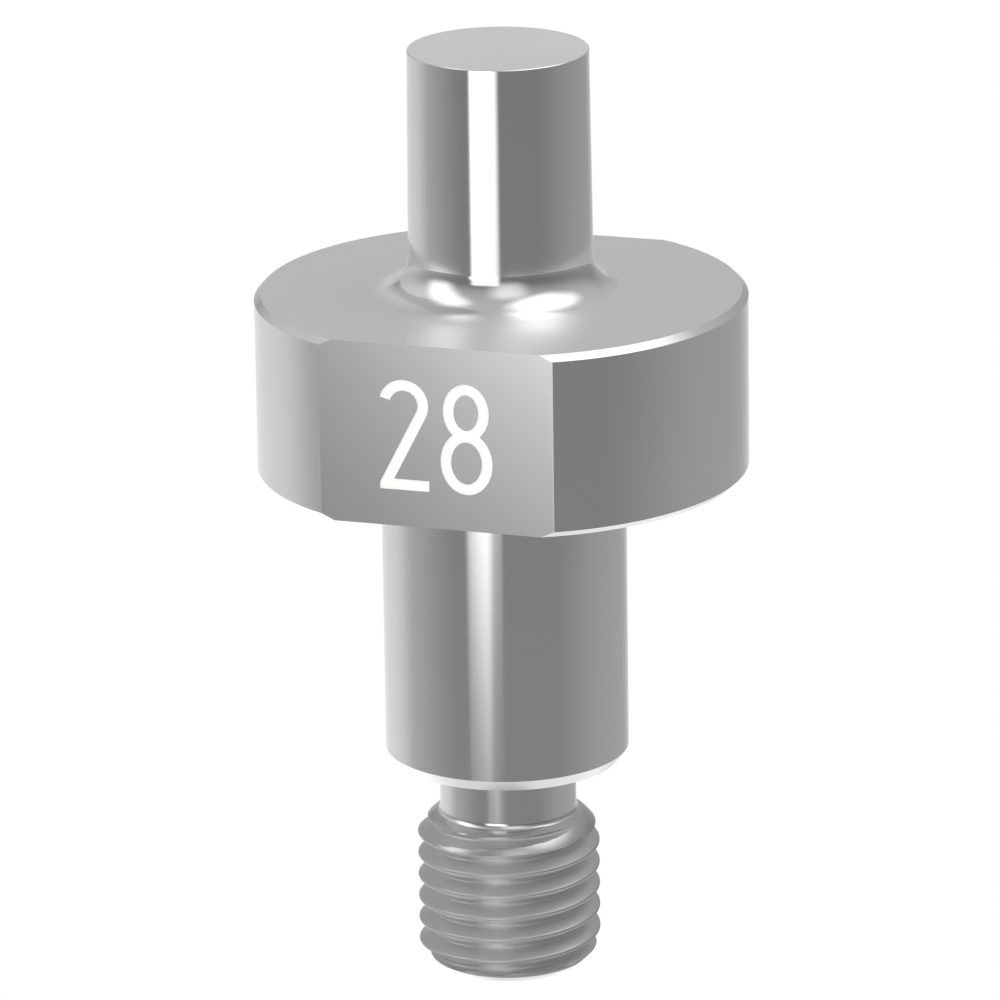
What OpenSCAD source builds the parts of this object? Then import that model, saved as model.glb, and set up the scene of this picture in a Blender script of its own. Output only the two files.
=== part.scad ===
// Punch tool for a press: a plain round nose on a wrench flange, with a ground guide shank,
// a relief neck and a threaded end below it. The real tool is turned from one steel bar and
// its flange is milled with two flats. Each machined section is a solid of its own here, and
// the sections meet face to face on the tool's axis.
// The origin is on the axis, in the plane of the seat under the flange. The nose points up,
// and the flats face -Y and +Y. All lengths are in millimetres.

/* [Nose] */
// Diameter of the nose above its root fillet
nose_d = 12; // [8:0.1:18]
// Height of the nose above the flange
nose_h = 16; // [6:0.5:40]
// Draft of the nose, in degrees on each side
nose_draft = 0.6; // [0:0.1:3]
// Radius of the fillet at the root of the nose
root_r = 2.5; // [0.5:0.1:4]

/* [Flange] */
// Diameter of the flange
flange_d = 32; // [29:0.5:60]
// Thickness of the flange
flange_h = 12; // [5:0.5:30]
// Width across the two wrench flats
flats_w = 28; // [27:0.5:31]
// Chamfer on both rims of the flange
rim_chamfer = 0.4; // [0.1:0.1:1.2]

/* [Shank] */
// Diameter of the guide shank
shank_d = 16; // [13:0.5:24]
// Length of the guide shank, from the seat to its lower end
shank_l = 19.8; // [6:0.1:60]
// Length of the lead chamfer at the shank's lower end
lead_l = 0.8; // [0.1:0.1:3]
// Depth of the lead chamfer on each side
lead_depth = 0.6; // [0.1:0.1:1.5]

/* [Relief neck] */
// Diameter of the relief neck
neck_d = 9; // [6:0.1:9.8]
// Length of the relief neck, from the shank to the run-in cone of the thread
neck_l = 3.6; // [1.5:0.1:12]
// Radius of the fillets at both ends of the neck
neck_r = 0.5; // [0.1:0.1:1]

/* [Thread] */
// Outer diameter of the right-hand thread
thread_d = 12; // [11:0.5:16]
// Pitch of the thread
pitch = 1.5; // [1:0.25:2]
// Length of the threaded end, with its run-in cone and its end chamfer
thread_l = 10.6; // [5:0.1:40]
// Size of the 45 degree chamfer at the thread's free end
end_chamfer = 1.15; // [0.5:0.05:2]
// Height of the thread's crest above the free end, on the +X side
crest_h = 0.57; // [0:0.01:1]

/* [Hidden] */
$fn = 96;
arc_steps = 12;   // straight steps in a quarter of a fillet
columns = 60;     // steps in one turn of the thread
core_h = 1;       // height of the cone in which the shank section ends inside the flange

// Heights of the faces where the sections meet
root_top = flange_h + root_r;
nose_top = flange_h + nose_h;
shank_end = -shank_l;
neck_end = shank_end - neck_l;
thread_end = neck_end - thread_l;

// Radius of the nose at its tip
tip_r = nose_d / 2 - (nose_top - root_top) * tan(nose_draft);

// The neck's lower fillet runs out on the 45 degree run-in cone of the thread
cone_angle = 45;
runout = neck_r * (1 - cos(cone_angle));
cone_top = neck_end - neck_r * (sin(cone_angle) - tan(cone_angle / 2));
cone_top_r = neck_d / 2 + runout;

// Points of a fillet from angle a to angle b, about the centre (x, z)
function arc(x, z, r, a, b) =
    [for (i = [0:arc_steps]) let (t = a + (b - a) * i / arc_steps) [x + r * cos(t), z + r * sin(t)]];

// Where the flange and the shank meet: a low cone inside the flange, so that the seat around
// the shank is a true ring
function shank_core() = [[0, core_h], [shank_d / 2 - core_h, core_h], [shank_d / 2, 0]];

// The nose, which does the work: a round pin with a little draft and a sharp rim
module punch_nose() {
    color("#b4b6b8") rotate_extrude()
        polygon([[0, root_top], [nose_d / 2, root_top], [tip_r, nose_top], [0, nose_top]]);
}

// The flange that seats on the press, with the nose's root fillet and two wrench flats
module wrench_flange() {
    r = flange_d / 2;
    c = rim_chamfer;
    color("#aeb0b2") difference() {
        rotate_extrude()
            polygon(concat(
                shank_core(),
                [[r - c, 0], [r, c], [r, flange_h - c], [r - c, flange_h]],
                arc(nose_d / 2 + root_r, root_top, root_r, 270, 180),
                [[0, root_top]]));
        for (side = [0, 180])
            rotate(side) translate([-flange_d, -flange_d - flats_w / 2, -flange_h])
                cube([2 * flange_d, flange_d, 3 * flange_h]);
    }
}

// The ground shank that centres the tool in its bore, with a lead chamfer
module guide_shank() {
    r = shank_d / 2;
    color("#a8aaac") rotate_extrude()
        polygon(concat(
            shank_core(),
            [[r, shank_end + lead_l], [r - lead_depth, shank_end], [0, shank_end]]));
}

// The relief between the shank and the thread, with a fillet at each end
module relief_neck() {
    x = neck_d / 2 + neck_r;
    fillet_end = cone_top + neck_r * sin(cone_angle);
    color("#8f9193") rotate_extrude()
        polygon(concat(
            [[0, shank_end]],
            arc(x, shank_end - neck_r, neck_r, 90, 180),
            arc(x, fillet_end, neck_r, 180, 180 + cone_angle),
            [[0, cone_top]]));
}

// The thread's profile over one pitch: each row's height, and its depth below the crest
crest_w = pitch / 8;
thread_depth = 0.6134 * pitch;
root_w = pitch - crest_w - 2 * thread_depth * tan(30);
profile = [
    [-crest_w / 2, 0],
    [crest_w / 2, 0],
    [(pitch - root_w) / 2, thread_depth],
    [(pitch + root_w) / 2, thread_depth],
];
rows = len(profile);

// The run-in cone above and the end chamfer below cut the thread off
thread_r = thread_d / 2;
end_r = thread_r - end_chamfer;
function envelope(z) = min(cone_top_r + (cone_top - z) * tan(cone_angle), end_r + z - thread_end);

// Below and above these heights the thread's root has run out into the chamfer and the cone
min_band = 0.1;
low_band = thread_end + max(min_band, thread_r - thread_depth - end_r);
high_band = cone_top - max(min_band, thread_r - thread_depth - cone_top_r);

// The rows climb with the thread, so the first column is a turn longer than the others
first_crest = thread_end + crest_h - 2 * pitch;
last_row = rows * (1 + ceil((cone_top - first_crest) / pitch));
function rise(column, row) =
    first_crest + floor(row / rows) * pitch + profile[row % rows][0] + pitch * column / columns;
function top_row(column) = column == 0 ? last_row + rows : last_row;

// Rows beyond the two bands are drawn together, so that both ends of the thread come out flat
function settle(column, z) =
    let (low = rise(column, 0), high = rise(column, top_row(column)))
    z < low_band ? low_band - (low_band - z) * (low_band - thread_end) / (low_band - low) :
    z > high_band ? high_band + (z - high_band) * (cone_top - high_band) / (high - high_band) : z;

function thread_point(column, row) =
    let (
        z = settle(column, rise(column, row)),
        cut = envelope(z),
        in_thread = z > low_band && z < high_band,
        r = in_thread ? min(thread_r - profile[row % rows][1], cut) : cut,
        a = 360 * column / columns)
    [r * cos(a), r * sin(a), z];

// Number of a point in the list, where the column after the last is the first, one turn up
function at(column, row) =
    column == 0 ? row :
    column == columns ? row + rows :
    last_row + rows + 1 + (column - 1) * (last_row + 1) + row;

// The threaded end: a right-hand thread between its run-in cone and its end chamfer
module threaded_end() {
    points = [for (c = [0:columns - 1], r = [0:top_row(c)]) thread_point(c, r)];
    wall = [for (c = [0:columns - 1], r = [0:last_row - 1], half = [0, 1])
        half == 0 ? [at(c, r), at(c, r + 1), at(c + 1, r + 1)]
                  : [at(c, r), at(c + 1, r + 1), at(c + 1, r)]];
    seam = [for (r = [0:rows - 1], end = [0, 1])
        end == 0 ? [at(columns - 1, 0), r + 1, r]
                 : [last_row + r, last_row + r + 1, at(1, last_row)]];
    floor_face = [for (c = [0:columns - 1]) at(c, 0)];
    top_face = [for (c = [columns - 1:-1:0]) at(c, top_row(c))];
    color("#9a9c9e") polyhedron(points, concat(wall, seam, [floor_face], [top_face]), convexity = 10);
}

punch_nose();
wrench_flange();
guide_shank();
relief_neck();
threaded_end();
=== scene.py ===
# A punch tool turned from one bar of steel: a round nose, a flange with two wrench flats, a
# ground guide shank, a relief neck and a threaded end. It stands on its threaded end, in a pale
# studio. Lengths are in metres unless a name ends in _MM.
import math

import bmesh
import bpy
from mathutils import Matrix, Vector
from mathutils.geometry import tessellate_polygon


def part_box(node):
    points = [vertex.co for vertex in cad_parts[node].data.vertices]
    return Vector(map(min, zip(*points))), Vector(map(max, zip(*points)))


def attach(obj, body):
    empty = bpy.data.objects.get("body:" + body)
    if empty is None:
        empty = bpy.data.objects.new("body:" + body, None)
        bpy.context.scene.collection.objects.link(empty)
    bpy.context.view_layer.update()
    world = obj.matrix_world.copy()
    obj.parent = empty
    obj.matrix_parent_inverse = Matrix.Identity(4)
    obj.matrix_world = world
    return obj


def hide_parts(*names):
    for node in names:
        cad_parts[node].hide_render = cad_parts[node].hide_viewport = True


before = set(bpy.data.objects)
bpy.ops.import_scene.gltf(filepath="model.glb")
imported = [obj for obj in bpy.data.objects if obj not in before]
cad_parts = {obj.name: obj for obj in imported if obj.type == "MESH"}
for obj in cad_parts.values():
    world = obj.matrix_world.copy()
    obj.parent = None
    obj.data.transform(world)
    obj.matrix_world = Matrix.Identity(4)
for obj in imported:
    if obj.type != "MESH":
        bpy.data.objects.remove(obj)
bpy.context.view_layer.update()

# The view: a long lens a little above the tool and to the right of the numbered flat. The tool
# leans a touch to the left in the picture, which is the camera's roll.
VIEW_AZIMUTH = math.radians(17.8)
VIEW_ELEVATION = math.radians(17.41)
VIEW_DISTANCE = 0.5063
VIEW_ROLL = math.radians(-0.81)
AIM_ACROSS = -0.00027
AIM_HEIGHT = -0.00232
LENS_MM = 279.4
SENSOR_MM = 36.0
CLIP_START = 0.01


def direction(azimuth, elevation):
    """The unit vector that points from the tool towards an azimuth and an elevation."""
    level = math.cos(elevation)
    return Vector((math.sin(azimuth) * level, -math.cos(azimuth) * level, math.sin(elevation)))


across = direction(VIEW_AZIMUTH + math.pi / 2, 0.0)
eye = Vector((0.0, 0.0, AIM_HEIGHT)) + VIEW_DISTANCE * direction(VIEW_AZIMUTH, VIEW_ELEVATION)
aim = Vector((0.0, 0.0, AIM_HEIGHT)) + AIM_ACROSS * across
back = (eye - aim).normalized()
right = Vector((0.0, 0.0, 1.0)).cross(back).normalized()
turned = Matrix.Rotation(VIEW_ROLL, 3, back) @ right
upright = back.cross(turned)

camera_data = bpy.data.cameras.new("camera")
camera_data.lens = LENS_MM
camera_data.sensor_width = SENSOR_MM
camera_data.clip_start = CLIP_START
camera = bpy.data.objects.new("camera", camera_data)
camera.matrix_world = Matrix.Translation(eye) @ Matrix((turned, upright, back)).transposed().to_4x4()
bpy.context.scene.collection.objects.link(camera)
bpy.context.scene.camera = camera
bpy.context.scene.view_settings.view_transform = "Standard"


# The studio: white for the camera, and round the tool the soft light that its steel mirrors.
# It is a grey room, pale behind and to the left, with light boxes, broad glows and a table.
class Wiring:
    """Adds nodes to a tree, and joins their sockets."""

    def __init__(self, tree):
        self.tree = tree

    def add(self, kind, settings=None, **inputs):
        """A node, with its inputs given by name, or as i0, i1 and so on by number."""
        node = self.tree.nodes.new(kind)
        for name, value in (settings or {}).items():
            setattr(node, name, value)
        for name, value in inputs.items():
            number = name[1:]
            self.put(value, node.inputs[int(number) if number.isdigit() else name.replace("_", " ")])
        return node

    def put(self, value, socket):
        if isinstance(value, bpy.types.NodeSocket):
            self.tree.links.new(value, socket)
        else:
            socket.default_value = value

    def math(self, operation, *values, clamp=False):
        node = self.tree.nodes.new("ShaderNodeMath")
        node.operation = operation
        node.use_clamp = clamp
        for value, socket in zip(values, node.inputs):
            self.put(value, socket)
        return node.outputs[0]

    def vector(self, operation, *values):
        node = self.tree.nodes.new("ShaderNodeVectorMath")
        node.operation = operation
        for value, socket in zip(values, node.inputs):
            self.put(value, socket)
        return node.outputs["Value" if operation in ("DOT_PRODUCT", "LENGTH") else "Vector"]

    def ramp(self, value, low, high, at_low, at_high):
        """A smooth step from one value to another."""
        node = self.tree.nodes.new("ShaderNodeMapRange")
        node.interpolation_type = "SMOOTHSTEP"
        for given, socket in zip((value, low, high, at_low, at_high), node.inputs):
            self.put(given, socket)
        return node.outputs[0]


def group(name, inputs, outputs):
    """A new node group: its wiring, its inputs, and the sockets that take its outputs."""
    tree = bpy.data.node_groups.new(name, "ShaderNodeTree")
    for label, kind, value in inputs:
        socket = tree.interface.new_socket(label, in_out="INPUT", socket_type=kind)
        socket.default_value = value
    for label, kind in outputs:
        tree.interface.new_socket(label, in_out="OUTPUT", socket_type=kind)
    source = tree.nodes.new("NodeGroupInput")
    return Wiring(tree), source.outputs, tree.nodes.new("NodeGroupOutput").inputs


FLOAT = "NodeSocketFloat"
VECTOR = "NodeSocketVector"
# Keeps what lies behind a box's plane out of the box
LEAST_AHEAD = 0.001


def make_light_box():
    """A soft-edged rectangle of light, seen in a direction from the tool."""
    wire, given, out = group(
        "light_box",
        [("Direction", VECTOR, (0, 0, 1)), ("Facing", VECTOR, (0, -1, 0)), ("Across", VECTOR, (1, 0, 0)),
         ("Half Width", FLOAT, 0.5), ("Half Height", FLOAT, 0.5),
         ("Corner", FLOAT, 0.1), ("Edge", FLOAT, 0.05)],
        [("Mask", FLOAT)])
    facing = wire.vector("DOT_PRODUCT", given["Direction"], given["Facing"])
    ahead = wire.math("MAXIMUM", facing, LEAST_AHEAD)
    upward = wire.vector("CROSS_PRODUCT", given["Facing"], given["Across"])
    squares = []
    for axis, half in ((given["Across"], "Half Width"), (upward, "Half Height")):
        aside = wire.math("ABSOLUTE", wire.vector("DOT_PRODUCT", given["Direction"], axis))
        beyond = wire.math("SUBTRACT", wire.math("DIVIDE", aside, ahead), given[half])
        beyond = wire.math("MAXIMUM", wire.math("ADD", beyond, given["Corner"]), 0.0)
        squares.append(wire.math("MULTIPLY", beyond, beyond))
    reach = wire.math("SQRT", wire.math("ADD", *squares))
    low = wire.math("SUBTRACT", given["Corner"], given["Edge"])
    high = wire.math("ADD", given["Corner"], given["Edge"])
    wire.put(wire.ramp(reach, low, high, 1.0, 0.0), out["Mask"])
    return wire.tree


# Each box: azimuth and elevation of its middle from the camera's side, how far it leans, half its
# width and height, its corners' radius and its edge's softness, all in degrees, and its
# brightness. The gap takes light away.
LIGHT_BOXES = {
    "main, beside the camera": (-19.4, -2.9, 1.5, 15.6, 13.3, 2.0, 5.1, 2.0),
    "left": (-79.7, 35.0, 1.5, 14.2, 26.3, 9.0, 14.0, 1.4),
    "right, high up": (81.4, 60.7, 6.7, 25.5, 21.0, 19.0, 14.0, 1.6),
    "above the camera": (9.0, 27.3, -3.4, 17.0, 22.0, 13.7, 14.0, 0.73),
    "gap between the left and back walls": (-149.2, 42.2, 54.7, 37.4, 18.8, 2.0, 1.6, -0.27),
    "behind": (-166.8, 22.3, -32.2, 10.1, 34.7, 29.2, 6.8, 0.32),
    "bright middle of the main box": (-23.6, -10.4, -6.0, 15.3, 5.2, 10.0, 4.6, 3.5),
}
# Each broad glow: azimuth and elevation of its middle from the camera's side, in degrees, the
# cosine of the angle round it where it starts, and its strength
GLOWS = {
    "behind": (168.5, 2.4, 0.858, 0.234),
    "behind on the right, low": (138.6, -17.5, 0.0, 0.214),
    "behind on the left, low": (-149.8, -20.0, 0.625, 0.399),
}
# The room's own light. Heights in it are sines of the elevation. The pale side fades by a slope,
# the ceiling and the table fade in between two heights each, and a band at the horizon is darker.
# The table's light also changes from near the camera to far from it, over a turn to either side.
ROOM_GREY = 0.425
PALE_SIDE = direction(VIEW_AZIMUTH + math.radians(-119.2), math.radians(8.2))
PALE_SLOPE = 1.1
PALE_LIGHT = 0.485
CEILING_HEIGHTS = (0.103, 0.97)
CEILING_LIGHT = 0.274
TABLE_HEIGHTS = (-0.35, -0.75)
TABLE_TURN = 0.6
TABLE_NEAR_LIGHT = 0.55
TABLE_FAR_LIGHT = 0.75
HORIZON_HEIGHTS = (0.013, 0.5)
HORIZON_SHADE = 0.584

world = bpy.data.worlds.new("studio")
world.use_nodes = True
world.node_tree.nodes.clear()
bpy.context.scene.world = world
wire = Wiring(world.node_tree)
looking = wire.add("ShaderNodeTexCoord").outputs["Generated"]
height = wire.add("ShaderNodeSeparateXYZ", i0=looking).outputs["Z"]
light_box = make_light_box()

to_pale_side = wire.vector("DOT_PRODUCT", looking, PALE_SIDE)
pale = wire.math("MULTIPLY_ADD", to_pale_side, PALE_SLOPE, 1.0 - PALE_SLOPE, clamp=True)
light = wire.math("MULTIPLY_ADD", wire.math("POWER", pale, 2.0), PALE_LIGHT, ROOM_GREY)
for azimuth, elevation, start, strength in GLOWS.values():
    centre = direction(VIEW_AZIMUTH + math.radians(azimuth), math.radians(elevation))
    glow = wire.ramp(wire.vector("DOT_PRODUCT", looking, centre), start, 1.0, 0.0, strength)
    light = wire.math("ADD", light, glow)
light = wire.math("ADD", light, wire.ramp(height, *CEILING_HEIGHTS, 0.0, CEILING_LIGHT))
behind = wire.vector("DOT_PRODUCT", looking, direction(VIEW_AZIMUTH + math.pi, 0.0))
table_light = wire.ramp(behind, -TABLE_TURN, TABLE_TURN, TABLE_NEAR_LIGHT, TABLE_FAR_LIGHT)
table = wire.math("MULTIPLY", wire.ramp(height, *TABLE_HEIGHTS, 0.0, 1.0), table_light)
light = wire.math("ADD", light, table)
from_horizon = wire.math("ABSOLUTE", height)
light = wire.math("MULTIPLY", light, wire.ramp(from_horizon, *HORIZON_HEIGHTS, HORIZON_SHADE, 1.0))
for azimuth, elevation, lean, half_width, half_height, corner, edge, strength in LIGHT_BOXES.values():
    centre = direction(VIEW_AZIMUTH + math.radians(azimuth), math.radians(elevation))
    level = direction(VIEW_AZIMUTH + math.radians(azimuth + 90), 0.0)
    box = wire.add("ShaderNodeGroup", {"node_tree": light_box}, Direction=looking)
    box.inputs["Facing"].default_value = centre
    box.inputs["Across"].default_value = Matrix.Rotation(math.radians(lean), 3, centre) @ level
    box.inputs["Half Width"].default_value = math.tan(math.radians(half_width))
    box.inputs["Half Height"].default_value = math.tan(math.radians(half_height))
    box.inputs["Corner"].default_value = math.tan(math.radians(corner))
    box.inputs["Edge"].default_value = math.tan(math.radians(edge))
    light = wire.math("MULTIPLY_ADD", box.outputs["Mask"], strength, light)

WHITE = (1.0, 1.0, 1.0, 1.0)
seen = wire.add("ShaderNodeLightPath").outputs["Is Camera Ray"]
room = wire.add("ShaderNodeBackground", Color=light)
white = wire.add("ShaderNodeBackground", Color=WHITE)
mix = wire.add("ShaderNodeMixShader", i0=seen, i1=room.outputs[0], i2=white.outputs[0])
wire.add("ShaderNodeOutputWorld", Surface=mix.outputs[0])

# A soft lamp in front, to the left and above. It lights what is painted, and the steel doesn't
# mirror it.
LAMP_DISTANCE = 0.5
LAMP_SIZE = 0.3
LAMP_WATTS = 0.55
lamp_side = direction(math.radians(-20), math.radians(30))
lamp_data = bpy.data.lights.new("front_lamp", "AREA")
lamp_data.energy = LAMP_WATTS
lamp_data.shape = "SQUARE"
lamp_data.size = LAMP_SIZE
lamp = bpy.data.objects.new("front_lamp", lamp_data)
lamp_turn = lamp_side.to_track_quat("Z", "Y").to_matrix().to_4x4()
lamp.matrix_world = Matrix.Translation(LAMP_DISTANCE * lamp_side) @ lamp_turn
lamp.visible_glossy = False
bpy.context.scene.collection.objects.link(lamp)

# The floor: a pale sheet under the tool's end face, white to the camera. The tool's foot mirrors
# the paper close round it, which is in the tool's own shade: a ring with soft edges.
FLOOR_HALF = 0.6
SHADED_PAPER = 0.42
SHADE_START_R = (0.005, 0.0052)
SHADE_END_R = (0.0059, 0.0075)
floor_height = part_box("threaded_end")[0][2]
floor_mesh = bpy.data.meshes.new("floor")
floor_mesh.from_pydata(
    [(x * FLOOR_HALF, y * FLOOR_HALF, floor_height) for x, y in ((-1, -1), (1, -1), (1, 1), (-1, 1))],
    [], [(0, 1, 2, 3)])
floor = bpy.data.objects.new("floor", floor_mesh)
bpy.context.scene.collection.objects.link(floor)
floor_paper = bpy.data.materials.new("floor_paper")
floor_paper.use_nodes = True
floor_paper.node_tree.nodes.clear()
wire = Wiring(floor_paper.node_tree)
seen = wire.add("ShaderNodeLightPath").outputs["Is Camera Ray"]
open_air = wire.add("ShaderNodeBsdfTransparent")
shaded = wire.add("ShaderNodeEmission", Color=(SHADED_PAPER, SHADED_PAPER, SHADED_PAPER, 1.0))
white = wire.add("ShaderNodeEmission", Color=WHITE)
place = wire.add("ShaderNodeTexCoord").outputs["Object"]
from_axis = wire.vector("LENGTH", wire.vector("MULTIPLY", place, (1.0, 1.0, 0.0)))
before_end = wire.ramp(from_axis, *SHADE_END_R, 1.0, 0.0)
past_start = wire.ramp(from_axis, *SHADE_START_R, 0.0, 1.0)
in_shade = wire.math("MULTIPLY", before_end, past_start)
paper = wire.add("ShaderNodeMixShader", i0=in_shade, i1=open_air.outputs[0], i2=shaded.outputs[0])
mix = wire.add("ShaderNodeMixShader", i0=seen, i1=paper.outputs[0], i2=white.outputs[0])
wire.add("ShaderNodeOutputMaterial", Surface=mix.outputs[0])
floor.data.materials.append(floor_paper)

# The nose: a round steel pin with a little draft, ground bright all round, with a sharp rim. It
# is one piece with the flange and grows out of a fillet there.
AROUND = 256
SHARP_EDGE = math.radians(18)
NOSE_ROOT_R = 0.006
NOSE_TIP_R = 0.0058586
RIM_BREAK = 0.00004
nose_low, nose_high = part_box("punch_nose")


def solid(name, points, faces, sharp=SHARP_EDGE):
    """An object of a mesh, smooth but for its edges."""
    mesh = bpy.data.meshes.new(name)
    mesh.from_pydata(points, [], faces)
    mesh.shade_smooth()
    mesh.set_sharp_from_angle(angle=sharp)
    piece = bpy.data.objects.new(name, mesh)
    bpy.context.scene.collection.objects.link(piece)
    return piece


def lathe(name, outline):
    """A solid of revolution. Its outline runs from the axis below to the axis above."""
    points = [(0.0, 0.0, outline[0][1])]
    for radius, z in outline[1:-1]:
        for step in range(AROUND):
            turn = 2 * math.pi * step / AROUND
            points.append((radius * math.cos(turn), radius * math.sin(turn), z))
    points.append((0.0, 0.0, outline[-1][1]))
    faces = []
    rings = len(outline) - 2
    for step in range(AROUND):
        beside = (step + 1) % AROUND
        faces.append((0, 1 + beside, 1 + step))
        for ring in range(rings - 1):
            low = 1 + ring * AROUND
            high = low + AROUND
            faces.append((low + step, low + beside, high + beside, high + step))
        top = 1 + (rings - 1) * AROUND
        faces.append((top + step, top + beside, len(points) - 1))
    return solid(name, points, faces)


def make_tool_marks():
    """Fine rings left by the tool or the wheel, which run round the axis on every turned face."""
    wire, given, out = group(
        "tool_marks",
        [("Rings per Metre", FLOAT, 9000.0), ("Smudges per Metre", FLOAT, 160.0)],
        [("Height", FLOAT), ("Smudge", FLOAT)])
    place = wire.add("ShaderNodeTexCoord").outputs["Object"]
    parts = wire.add("ShaderNodeSeparateXYZ", i0=place).outputs
    flat = wire.add("ShaderNodeCombineXYZ", X=parts["X"], Y=parts["Y"]).outputs[0]
    along = wire.math("SUBTRACT", parts["Z"], wire.vector("LENGTH", flat))
    rings = wire.add(
        "ShaderNodeTexNoise", {"noise_dimensions": "1D"},
        W=wire.math("MULTIPLY", along, given["Rings per Metre"]), Scale=1.0, Detail=3.0, Roughness=0.6)
    smudge = wire.add(
        "ShaderNodeTexNoise", {"noise_dimensions": "3D"},
        Vector=place, Scale=given["Smudges per Metre"], Detail=4.0, Roughness=0.55)
    wire.put(rings.outputs[0], out["Height"])
    wire.put(smudge.outputs[0], out["Smudge"])
    return wire.tree


# The bare steel's tone, and what the wheel leaves on it: rings to the metre, and their depth
STEEL_TONE = (0.565, 0.566, 0.567)
GROUND_RINGS = (14000.0, 0.00000004)
SMUDGE_SPREAD = 0.02
QUARTER_TURN = 0.25
tool_marks = make_tool_marks()


def steel(name, tone, roughness, rings, painted_reflection_tone=0.95, matt=None, grain=0.0):
    """Bare steel, with its rings as a bump and its smudges in the roughness and the tone.

    Seen in other steel its colour is swapped for a flat, paler grey: a painted reflection tone,
    which stands in for light and is not the steel's own colour. Its finish can turn matt away from
    the axis: between two radii, up to a roughness. Its grain runs round the axis, which softens
    what it mirrors along the axis.
    """
    material = bpy.data.materials.new(name)
    material.use_nodes = True
    material.node_tree.nodes.clear()
    wire = Wiring(material.node_tree)
    rings_per_metre, depth = rings
    marks = wire.add("ShaderNodeGroup", {"node_tree": tool_marks})
    marks.inputs["Rings per Metre"].default_value = rings_per_metre
    surface = wire.add("ShaderNodeBsdfPrincipled", Metallic=1.0)
    if grain:
        surface.inputs["Anisotropic"].default_value = grain
        surface.inputs["Anisotropic Rotation"].default_value = QUARTER_TURN
        around = wire.add("ShaderNodeTangent", {"direction_type": "RADIAL", "axis": "Z"})
        wire.put(around.outputs[0], surface.inputs["Tangent"])
    half = SMUDGE_SPREAD / 2
    smudged = wire.add("ShaderNodeMix", {"data_type": "RGBA"}, i0=marks.outputs["Smudge"])
    wire.put(tuple(c * (1 - half) for c in tone) + (1.0,), smudged.inputs[6])
    wire.put(tuple(c * (1 + half) for c in tone) + (1.0,), smudged.inputs[7])
    # Painted reflection: where other steel mirrors this steel, a flat paler grey takes the place of its
    # tone
    in_mirror = wire.add("ShaderNodeLightPath").outputs["Is Glossy Ray"]
    shade = wire.add("ShaderNodeMix", {"data_type": "RGBA"}, i0=in_mirror)
    wire.put(smudged.outputs[2], shade.inputs[6])
    wire.put((painted_reflection_tone, painted_reflection_tone, painted_reflection_tone, 1.0), shade.inputs[7])
    wire.put(shade.outputs[2], surface.inputs["Base Color"])
    finish = roughness - half
    if matt:
        start, end, matt_roughness = matt
        place = wire.add("ShaderNodeTexCoord").outputs["Object"]
        radius = wire.vector("LENGTH", wire.vector("MULTIPLY", place, (1.0, 1.0, 0.0)))
        finish = wire.ramp(radius, start, end, finish, matt_roughness - half)
    wire.put(
        wire.math("MULTIPLY_ADD", marks.outputs["Smudge"], SMUDGE_SPREAD, finish),
        surface.inputs["Roughness"])
    bump = wire.add("ShaderNodeBump", Strength=1.0, Distance=depth, Height=marks.outputs["Height"])
    wire.put(bump.outputs[0], surface.inputs["Normal"])
    wire.add("ShaderNodeOutputMaterial", Surface=surface.outputs[0])
    return material


nose_steel = steel("nose_steel", STEEL_TONE, 0.09, GROUND_RINGS, painted_reflection_tone=1.0, grain=0.8)
nose = lathe("nose", [
    (0.0, nose_low[2]),
    (NOSE_ROOT_R, nose_low[2]),
    (NOSE_TIP_R, nose_high[2] - RIM_BREAK),
    (NOSE_TIP_R - RIM_BREAK, nose_high[2]),
    (0.0, nose_high[2]),
])
nose.data.materials.append(nose_steel)
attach(nose, "root")
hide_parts("punch_nose")

# The flange: a turned steel disc with a chamfer on each rim and the nose's fillet on top. Two
# flats for a wrench are milled on it, and the front one carries an engraved number.
FLANGE_R = 0.016
RIM_CHAMFER = 0.0004
FILLET_R = 0.0025
FILLET_STEPS = 20
FLANGE_AROUND = 384
SEAT_R = 0.008
# Steps closer to an edge than this share of a step are left out
TOO_NEAR = 0.3
# The least gap between two rows of points, and how near points have to be to be joined
HAIR = 0.00001
MERGE_WITHIN = 0.0000001
# Half the angle, and the depth, of the broken edges at the ends of a flat. The cutter came out
# of the flats on the right, so the edges are broken wider there.
BREAK_RIGHT = (math.radians(0.215), 0.0000155)
BREAK_LEFT = (math.radians(0.012), 0.0)
flange_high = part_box("wrench_flange")[1]
flat_y = flange_high[1]
flange_top = flange_high[2] - FILLET_R
corner_lean = math.acos(flat_y / FLANGE_R)

# The rings that a turning tool leaves. The facing cut is a little paler, and turns matt between
# two radii, up to a roughness.
TURNED_RINGS = (9000.0, 0.00000007)
FACED_TONE = (0.602, 0.603, 0.604)
FACED_MATT = (0.0066, 0.0083, 0.45)
turned_steel = steel("turned_steel", STEEL_TONE, 0.08, TURNED_RINGS, painted_reflection_tone=0.6)
milled_steel = steel("milled_steel", STEEL_TONE, 0.06, TURNED_RINGS)
faced_steel = steel("faced_steel", FACED_TONE, 0.08, TURNED_RINGS, painted_reflection_tone=0.8, matt=FACED_MATT)
fillet_steel = steel("fillet_steel", FACED_TONE, 0.08, TURNED_RINGS, painted_reflection_tone=1.0, matt=FACED_MATT)
rim_steel = steel("rim_steel", STEEL_TONE, 0.22, TURNED_RINGS)


def edge_break(turn):
    """The broken edge on the side of the flange that a direction points to."""
    return BREAK_RIGHT if math.cos(turn) > 0 else BREAK_LEFT


def flange_reach(turn):
    """How far the flange reaches from the axis in a direction: to its rim, a flat or their edge."""
    lean = math.acos(min(1.0, abs(math.sin(turn))))
    flat = flat_y / math.cos(lean) if lean < corner_lean else FLANGE_R
    broken = (FLANGE_R * math.cos(corner_lean / 2) - edge_break(turn)[1]) / math.cos(lean - corner_lean / 2)
    return min(FLANGE_R, flat, broken)


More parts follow.
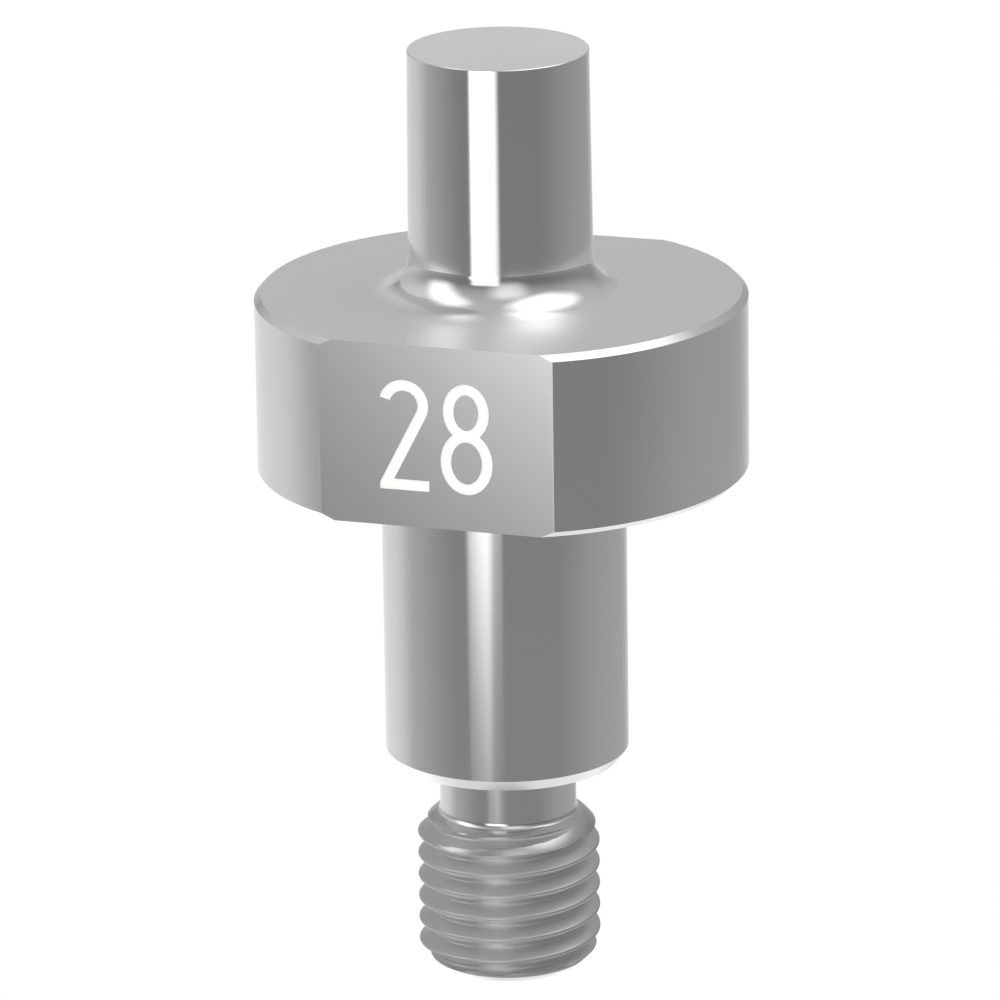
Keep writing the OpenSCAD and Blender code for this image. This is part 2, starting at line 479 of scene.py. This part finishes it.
def flange_turns():
    """The directions of the flange's upright edges: even steps, and the ends of the flats."""
    step = 2 * math.pi / FLANGE_AROUND
    chamfer_end = math.acos(flat_y / (FLANGE_R - RIM_CHAMFER))
    kept = []
    for quarter in (0.5 * math.pi, 1.5 * math.pi):
        for side in (-1, 1):
            half_break = edge_break(quarter + side * corner_lean)[0]
            for lean in (corner_lean - half_break, corner_lean + half_break, chamfer_end):
                kept.append(quarter + side * lean)
    turns = [step * number for number in range(FLANGE_AROUND)]
    turns = [turn for turn in turns if min(abs(turn - edge) for edge in kept) > TOO_NEAR * step]
    return sorted(turns + kept)


def make_flange():
    """Points and faces of the flange, row by row from the seat up to the top of the fillet."""
    turns = flange_turns()
    count = len(turns)
    reach = [flange_reach(turn) for turn in turns]
    rim = FLANGE_R - RIM_CHAMFER
    rows = [
        [(SEAT_R, 0.0)] * count,
        [(min(rim, r), 0.0) for r in reach],
        [(r, max(0.0, r - rim)) for r in reach],
        [(r, flange_top - max(0.0, r - rim)) for r in reach],
        [(min(rim, r), flange_top) for r in reach],
        [(NOSE_ROOT_R + FILLET_R + HAIR, flange_top)] * count,
    ]
    for step in range(FILLET_STEPS + 1):
        lean = 0.5 * math.pi * step / FILLET_STEPS
        radius = NOSE_ROOT_R + FILLET_R * (1 - math.sin(lean))
        height = min(flange_top + FILLET_R * (1 - math.cos(lean)), flange_high[2] - HAIR)
        rows.append([(radius, height)] * count)
    rows.append([(NOSE_ROOT_R, flange_high[2])] * count)
    points = []
    for row in rows:
        points += [(r * math.cos(t), r * math.sin(t), z) for (r, z), t in zip(row, turns)]
    points += [(0.0, 0.0, 0.0), (0.0, 0.0, flange_high[2])]
    faces = []
    for step in range(count):
        beside = (step + 1) % count
        faces.append((len(points) - 2, beside, step))
        for row in range(len(rows) - 1):
            low = row * count
            high = low + count
            faces.append((low + step, low + beside, high + beside, high + step))
        top = (len(rows) - 1) * count
        faces.append((top + step, top + beside, len(points) - 1))
    return points, faces


# What a face's normal shows: it points straight to the front or back on a flat, up on the facing
# cut, and between two limits on the rim's chamfer. A flat is also this near to its full depth.
SQUARE_ON = 0.99999
LOOKS_UP = 0.05
CHAMFER_TILT = (0.3, 0.9)
NEAR_FLAT = 0.99


def flange_finish(face):
    """The steel of one face: of a flat, the fillet, the facing cut, the rim's chamfer or the rest."""
    if abs(face.normal.y) > SQUARE_ON and abs(face.center.y) > NEAR_FLAT * flat_y:
        return milled_steel
    if face.center.z > flange_top + HAIR:
        return fillet_steel
    if face.center.z > flange_top - HAIR and face.normal.z > LOOKS_UP:
        return faced_steel
    if CHAMFER_TILT[0] < face.normal.z < CHAMFER_TILT[1]:
        return rim_steel
    return turned_steel


def put_steels(piece, steels, pick):
    """Gives a piece its steels, and each of its faces the one that a function picks."""
    for material in steels:
        piece.data.materials.append(material)
    for face in piece.data.polygons:
        face.material_index = steels.index(pick(face))


points, faces = make_flange()
flange = solid("flange", points, faces)
shape = bmesh.new()
shape.from_mesh(flange.data)
bmesh.ops.remove_doubles(shape, verts=shape.verts, dist=MERGE_WITHIN)
shape.to_mesh(flange.data)
shape.free()
put_steels(flange, [turned_steel, milled_steel, faced_steel, fillet_steel, rim_steel], flange_finish)
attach(flange, "root")
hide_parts("wrench_flange")

# The number on the front flat: the width across the flats, engraved with a square-ended cutter
# and filled with white paint. The digits are drawn in millimetres here, each about its own
# middle line and from its foot.
STROKE_MM = 0.72
DIGIT_TALL_MM = 7.3
TWO_HALF_MM = 1.65
TWO_ARC_START = math.radians(165)
TWO_ARC_END = math.radians(-27.9)
TWO_STEPS = 40
EIGHT_HALVES_MM = ((1.73, 2.1), (1.53, 1.88))
EIGHT_STEPS = 72
DIGIT_MIDDLES_MM = (-2.12, 2.02)
NUMBER_FOOT_MM = 2.4
MM_PER_METRE = 1000
ENGRAVED = 0.00014
PAINT_BELOW = 0.00004
CUTTER_OUT = 0.001
ENGRAVED_EDGE = math.radians(10)


def two():
    """The outline of a 2: an arc, a straight and a foot, all of one stroke width."""
    half = STROKE_MM / 2
    radius = TWO_HALF_MM - half
    rise = DIGIT_TALL_MM - TWO_HALF_MM
    leans = [
        TWO_ARC_START + (TWO_ARC_END - TWO_ARC_START) * step / TWO_STEPS for step in range(TWO_STEPS + 1)]
    outer = [((radius + half) * math.cos(t), rise + (radius + half) * math.sin(t)) for t in leans]
    inner = [((radius - half) * math.cos(t), rise + (radius - half) * math.sin(t)) for t in leans]
    side = (math.cos(TWO_ARC_END), math.sin(TWO_ARC_END))
    inside = (-radius + (half - half * side[1]) / side[0], STROKE_MM)
    outside = (-TWO_HALF_MM, half + (half - (TWO_HALF_MM - radius) * side[0]) / -side[1])
    foot = [inside, (TWO_HALF_MM, STROKE_MM), (TWO_HALF_MM, 0.0), (-TWO_HALF_MM, 0.0), outside]
    return [outer + foot + inner[::-1]]


def eight():
    """The outline of an 8: two ovals one on the other, and its two holes."""
    (low_w, low_h), (high_w, high_h) = EIGHT_HALVES_MM
    ovals = [(low_h, low_w, low_h), (DIGIT_TALL_MM - high_h, high_w, high_h)]
    rings = []
    holes = []
    for middle, width, height in ovals:
        turns = [2 * math.pi * (step + 0.5) / EIGHT_STEPS for step in range(EIGHT_STEPS)]
        rings.append([(width * math.cos(t), middle + height * math.sin(t)) for t in turns])
        width -= STROKE_MM
        height -= STROKE_MM
        turns = [-2 * math.pi * step / EIGHT_STEPS for step in range(EIGHT_STEPS)]
        holes.append([(width * math.cos(t), middle + height * math.sin(t)) for t in turns])

    def inside(point, oval):
        return (point[0] / oval[1]) ** 2 + ((point[1] - oval[0]) / oval[2]) ** 2 < 1

    quarter = EIGHT_STEPS // 4
    lower = [point for point in rings[0][quarter:] + rings[0][:quarter] if not inside(point, ovals[1])]
    upper = [point for point in rings[1][-quarter:] + rings[1][:-quarter] if not inside(point, ovals[0])]
    return [lower + upper] + holes


def stamp(name, front, behind):
    """The number as a solid between two depths."""
    shape = bmesh.new()
    for middle, outlines in zip(DIGIT_MIDDLES_MM, (two(), eight())):
        flat = [[Vector((x, z, 0.0)) for x, z in outline] for outline in outlines]
        ends = []
        for y in (front, behind):
            ends.append([[
                shape.verts.new(((middle + x) / MM_PER_METRE, y, (NUMBER_FOOT_MM + z) / MM_PER_METRE))
                for x, z in outline] for outline in outlines])
            corners = [vert for ring in ends[-1] for vert in ring]
            for triangle in tessellate_polygon(flat):
                shape.faces.new([corners[number] for number in triangle])
        for near, far in zip(*ends):
            for number in range(len(near)):
                shape.faces.new((near[number - 1], near[number], far[number], far[number - 1]))
    bmesh.ops.recalc_face_normals(shape, faces=shape.faces)
    mesh = bpy.data.meshes.new(name)
    shape.to_mesh(mesh)
    shape.free()
    piece = bpy.data.objects.new(name, mesh)
    bpy.context.scene.collection.objects.link(piece)
    return piece


cutter = stamp("cutter", -flat_y - CUTTER_OUT, -flat_y + ENGRAVED)
cut = flange.modifiers.new("engrave", "BOOLEAN")
cut.operation = "DIFFERENCE"
cut.solver = "EXACT"
cut.object = cutter
bpy.context.view_layer.update()
plain_mesh = flange.data
engraved = flange.evaluated_get(bpy.context.evaluated_depsgraph_get())
flange.data = bpy.data.meshes.new_from_object(engraved)
flange.modifiers.clear()
bpy.data.meshes.remove(plain_mesh)
bpy.data.objects.remove(cutter)
flange.data.shade_smooth()
flange.data.set_sharp_from_angle(angle=ENGRAVED_EDGE)

# The paint is matt, with a fine grain in its finish and on its surface
PAINT_WHITE = (0.92, 0.92, 0.91, 1.0)
PAINT_ROUGHNESS = 0.45
PAINT_SPREAD = 0.2
PAINT_GRAINS_PER_METRE = 9000.0
PAINT_GRAIN_DEPTH = 0.000004
number_paint = bpy.data.materials.new("number_paint")
number_paint.use_nodes = True
number_paint.node_tree.nodes.clear()
wire = Wiring(number_paint.node_tree)
grain = wire.add(
    "ShaderNodeTexNoise", Vector=wire.add("ShaderNodeTexCoord").outputs["Object"],
    Scale=PAINT_GRAINS_PER_METRE, Detail=3.0, Roughness=0.6).outputs[0]
surface = wire.add(
    "ShaderNodeBsdfPrincipled", Base_Color=PAINT_WHITE,
    Roughness=wire.math("MULTIPLY_ADD", grain, PAINT_SPREAD, PAINT_ROUGHNESS))
bump = wire.add("ShaderNodeBump", Strength=1.0, Distance=PAINT_GRAIN_DEPTH, Height=grain)
wire.put(bump.outputs[0], surface.inputs["Normal"])
wire.add("ShaderNodeOutputMaterial", Surface=surface.outputs[0])

paint = stamp("number", -flat_y + PAINT_BELOW, -flat_y + ENGRAVED)
paint.data.materials.append(number_paint)
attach(paint, "root")

# The guide shank: steel ground to slide in a 16 mm bore, with a lead chamfer and a turned face at
# its lower end. It is one piece with the flange above and the neck below.
SHANK_R = 0.008
LEAD_L = 0.0008
LEAD_DEPTH = 0.0006
LOOKS_DOWN = -0.9
shank_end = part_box("guide_shank")[0][2]
ground_steel = steel("ground_steel", STEEL_TONE, 0.07, GROUND_RINGS)


def shank_finish(face):
    return turned_steel if face.normal.z < LOOKS_DOWN else ground_steel


shank = lathe("shank", [
    (0.0, shank_end),
    (SHANK_R - LEAD_DEPTH, shank_end),
    (SHANK_R, shank_end + LEAD_L),
    (SHANK_R, 0.0),
    (0.0, 0.0),
])
put_steels(shank, [ground_steel, turned_steel], shank_finish)
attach(shank, "root")
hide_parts("guide_shank")

# The relief neck: turned from the same steel between the shank and the thread, with a fillet at
# each end. The lower fillet runs out on the thread's run-in cone.
NECK_R = 0.0045
NECK_FILLET_R = 0.0005
NECK_STEPS = 8
NECK_TONE = (0.55, 0.551, 0.552)
CONE = math.radians(45)
neck_low, neck_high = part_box("relief_neck")
neck_outline = [(0.0, neck_low[2])]
for step in range(NECK_STEPS + 1):
    lean = CONE * (1 - step / NECK_STEPS)
    neck_outline.append((
        NECK_R + NECK_FILLET_R * (1 - math.cos(lean)),
        neck_low[2] + NECK_FILLET_R * (math.sin(CONE) - math.sin(lean))))
neck_outline.append((NECK_R, neck_outline[-1][1] + HAIR))
neck_outline.append((NECK_R, neck_high[2] - NECK_FILLET_R - HAIR))
for step in range(NECK_STEPS + 1):
    lean = 0.5 * math.pi * step / NECK_STEPS
    neck_outline.append((
        NECK_R + NECK_FILLET_R * (1 - math.cos(lean)),
        neck_high[2] - NECK_FILLET_R * (1 - math.sin(lean))))
neck_outline.append((0.0, neck_high[2]))
neck = lathe("neck", neck_outline)
neck_steel = steel("neck_steel", NECK_TONE, 0.1, TURNED_RINGS)
neck.data.materials.append(neck_steel)
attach(neck, "root")
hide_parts("relief_neck")

# The threaded end: a right-hand thread of 12 mm and 1.5 mm pitch, cut in the steel between a
# run-in cone below the neck and a turned chamfer at its free end. Its crests and roots are round,
# and the cone bulges a little.
THREAD_R = 0.006
PITCH = 0.0015
THREAD_DEPTH = 0.6134 * PITCH
FLANK_ANGLE = math.radians(30)
CREST_FLAT = PITCH / 8
CREST_ROUND = 0.00015
ROOT_ROUND = 0.00021
ROUND_STEPS = 6
FLANK_STEPS = 8
# Points closer than this to the middle of a root are left out
ROOT_GAP = 0.000005
# The height of a crest above the free end, on the +X side
CREST_H = 0.00057
THREAD_AROUND = 180
THREAD_EDGE = math.radians(14)
# The radius of the free end's face, and how high the chamfer runs round it without any thread
END_R = 0.00485
END_RING = 0.00034
# How far the cone bulges beyond its chord, and how much longer it is than it is wide
CONE_BULGE = 0.00015
CONE_DROP = 0.00008
# How near to the cone's surface, and how upright, a face of the cone is
ON_CONE = 0.00002
CONE_TILT = 0.3
thread_low, thread_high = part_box("threaded_end")
thread_end = thread_low[2]
cone_top = thread_high[2]
cone_top_r = NECK_R + NECK_FILLET_R * (1 - math.cos(CONE))

# The cone is an arc from its top to the crests: its radius, and its centre, out from the cone's
# top and up from it
cone_w = THREAD_R - cone_top_r
cone_l = cone_w + CONE_DROP
cone_chord = math.hypot(cone_w, cone_l)
cone_curve = (cone_chord ** 2 / 4 + CONE_BULGE ** 2) / (2 * CONE_BULGE)
cone_centre_r = cone_w / 2 - (cone_curve - CONE_BULGE) * cone_l / cone_chord
cone_centre_z = -cone_l / 2 - (cone_curve - CONE_BULGE) * cone_w / cone_chord


def cone_reach(z):
    """How far the run-in cone reaches from the axis at a height."""
    below = cone_top - z
    if below > cone_l:
        return THREAD_R + below - cone_l
    return cone_top_r + cone_centre_r + math.sqrt(cone_curve ** 2 - (below + cone_centre_z) ** 2)


def thread_profile():
    """Heights over one pitch from the middle of a crest, and depths below the crest."""
    tilt = math.pi / 2 - FLANK_ANGLE
    crest_end = CREST_FLAT / 2 - CREST_ROUND * math.tan(tilt / 2)
    root_start = CREST_FLAT / 2 + THREAD_DEPTH * math.tan(FLANK_ANGLE) + ROOT_ROUND * math.tan(tilt / 2)
    crest = []
    root = []
    for step in range(ROUND_STEPS + 1):
        lean = tilt * step / ROUND_STEPS
        crest.append((crest_end + CREST_ROUND * math.sin(lean), CREST_ROUND * (1 - math.cos(lean))))
        lean = tilt * (1 - step / ROUND_STEPS)
        depth = THREAD_DEPTH - ROOT_ROUND * (1 - math.cos(lean))
        root.append((root_start - ROOT_ROUND * math.sin(lean), depth))
    flank = []
    for step in range(1, FLANK_STEPS):
        part = step / FLANK_STEPS
        flank.append(tuple(a + (b - a) * part for a, b in zip(crest[-1], root[0])))
    half = [(0.0, 0.0)] + crest + flank + root
    down = [(h, d) for h, d in half if h < PITCH / 2 - ROOT_GAP]
    up = [(PITCH - h, d) for h, d in reversed(down[1:])]
    return down + up


# Below and above the two bands' heights the thread has run out into the chamfer and the cone.
# The rows climb with the thread, so the first column is a turn longer than the others.
profile = thread_profile()
rows = len(profile)
first_crest = thread_end + CREST_H - 2 * PITCH
last_row = rows * (1 + math.ceil((cone_top - first_crest) / PITCH))
deepest = THREAD_R - max(depth for height, depth in profile)
low_band = thread_end + END_RING
root_reach = deepest - cone_top_r - cone_centre_r
high_band = cone_top + cone_centre_z + math.sqrt(cone_curve ** 2 - root_reach ** 2)


def top_row(column):
    """The last row of a column."""
    return last_row + rows if column == 0 else last_row


def rise(column, row):
    """The height of a row in a column, on a thread that never ends."""
    return first_crest + row // rows * PITCH + profile[row % rows][0] + PITCH * column / THREAD_AROUND


def thread_point(column, row):
    """A point of the thread. Rows beyond the two bands are drawn together, so its ends are flat."""
    z = rise(column, row)
    if z < low_band:
        z = low_band - (low_band - z) * (low_band - thread_end) / (low_band - rise(column, 0))
    elif z > high_band:
        high = rise(column, top_row(column))
        z = high_band + (z - high_band) * (cone_top - high_band) / (high - high_band)
    cut = min(cone_reach(z), END_R + z - thread_end)
    radius = min(THREAD_R - profile[row % rows][1], cut) if low_band < z < high_band else cut
    turn = 2 * math.pi * column / THREAD_AROUND
    return (radius * math.cos(turn), radius * math.sin(turn), z)


def at(column, row):
    """The number of a point, where the column after the last is the first, one turn up."""
    if column == 0:
        return row
    if column == THREAD_AROUND:
        return row + rows
    return last_row + rows + 1 + (column - 1) * (last_row + 1) + row


def make_thread():
    """Points and faces of the thread: its wall, the seam at both ends, and the two end faces."""
    points = []
    faces = []
    for column in range(THREAD_AROUND):
        points += [thread_point(column, row) for row in range(top_row(column) + 1)]
        beside = column + 1
        for row in range(last_row):
            faces.append((at(column, row), at(beside, row), at(beside, row + 1), at(column, row + 1)))
    for row in range(rows):
        faces.append((at(THREAD_AROUND - 1, 0), row, row + 1))
        faces.append((last_row + row, at(1, last_row), last_row + row + 1))
    faces.append([at(column, 0) for column in range(THREAD_AROUND - 1, -1, -1)])
    faces.append([at(column, top_row(column)) for column in range(THREAD_AROUND)])
    return points, faces


points, faces = make_thread()
thread = solid("thread", points, faces, sharp=THREAD_EDGE)

CUT_RINGS = (9000.0, 0.0000001)
THREAD_TONE = (0.395, 0.396, 0.397)
CONE_TONE = (0.39, 0.391, 0.392)
thread_steel = steel("thread_steel", THREAD_TONE, 0.42, CUT_RINGS, painted_reflection_tone=0.9)
cone_steel = steel("cone_steel", CONE_TONE, 0.22, CUT_RINGS, painted_reflection_tone=0.9)


def thread_finish(face):
    """The steel of one face: of the chamfer and the end, the run-in cone or the thread itself."""
    if face.center.z < low_band:
        return turned_steel
    if face.normal.z > CONE_TILT and face.center.xy.length > cone_reach(face.center.z) - ON_CONE:
        return cone_steel
    return thread_steel


put_steels(thread, [thread_steel, turned_steel, cone_steel], thread_finish)
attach(thread, "root")
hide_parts("threaded_end")
